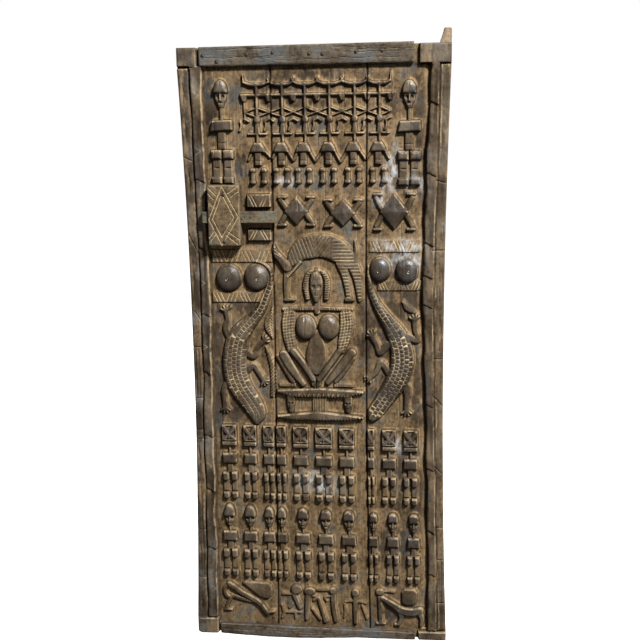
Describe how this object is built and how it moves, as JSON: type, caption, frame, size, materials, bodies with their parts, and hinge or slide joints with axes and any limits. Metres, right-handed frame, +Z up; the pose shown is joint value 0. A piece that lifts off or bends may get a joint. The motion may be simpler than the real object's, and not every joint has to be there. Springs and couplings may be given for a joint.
{
  "type": "carved granary door",
  "caption": "Tall carved plank door that turns on wooden end pintles, with figure relief in rows, nailed battens and a sliding-bolt tumbler lock.",
  "frame": {"origin": "on the hinge axis, at the shoulder of the lower pintle, where the journal starts", "axes": "+Z up along the hinge axis, -Y out of the carved front, +X to the right when the front is seen, so that the door's leaf lies towards -X"},
  "size_m": [0.86, 0.089, 2.07],
  "materials": {
    "carved_wood": "weathered hand-carved hardwood, tan on worn edges, dark in the recesses",
    "batten_wood": "weathered grey-brown adzed wood",
    "lock_wood": "brown wood polished by handling",
    "forged_iron": "dark rusted forged iron"
  },
  "bodies": {
    "door": {"plank_left": "carved_wood", "plank_centre": "carved_wood", "plank_right": "carved_wood", "top_rail": "batten_wood", "bottom_rail": "batten_wood", "top_rail_nails": "forged_iron", "bottom_rail_nails": "forged_iron", "lock_case": "lock_wood", "lock_case_nails": "forged_iron", "seam_staples_left": "forged_iron", "seam_staples_right": "forged_iron"},
    "bolt": {"lock_bolt": "lock_wood"},
    "tumbler_left": {"tumbler_pin_left": "forged_iron"},
    "tumbler_middle": {"tumbler_pin_middle": "forged_iron"},
    "tumbler_right": {"tumbler_pin_right": "forged_iron"}
  },
  "joints": [
    {"name": "bolt_slide", "type": "slide", "parent": "door", "child": "bolt", "axis": [-1, 0, 0], "range_m": [0, 0.09]},
    {"name": "tumbler_lift_left", "type": "slide", "parent": "door", "child": "tumbler_left", "axis": [0, 0, 1], "range_m": [0, 0.01]},
    {"name": "tumbler_lift_middle", "type": "slide", "parent": "door", "child": "tumbler_middle", "axis": [0, 0, 1], "range_m": [0, 0.01]},
    {"name": "tumbler_lift_right", "type": "slide", "parent": "door", "child": "tumbler_right", "axis": [0, 0, 1], "range_m": [0, 0.01]}
  ]
}
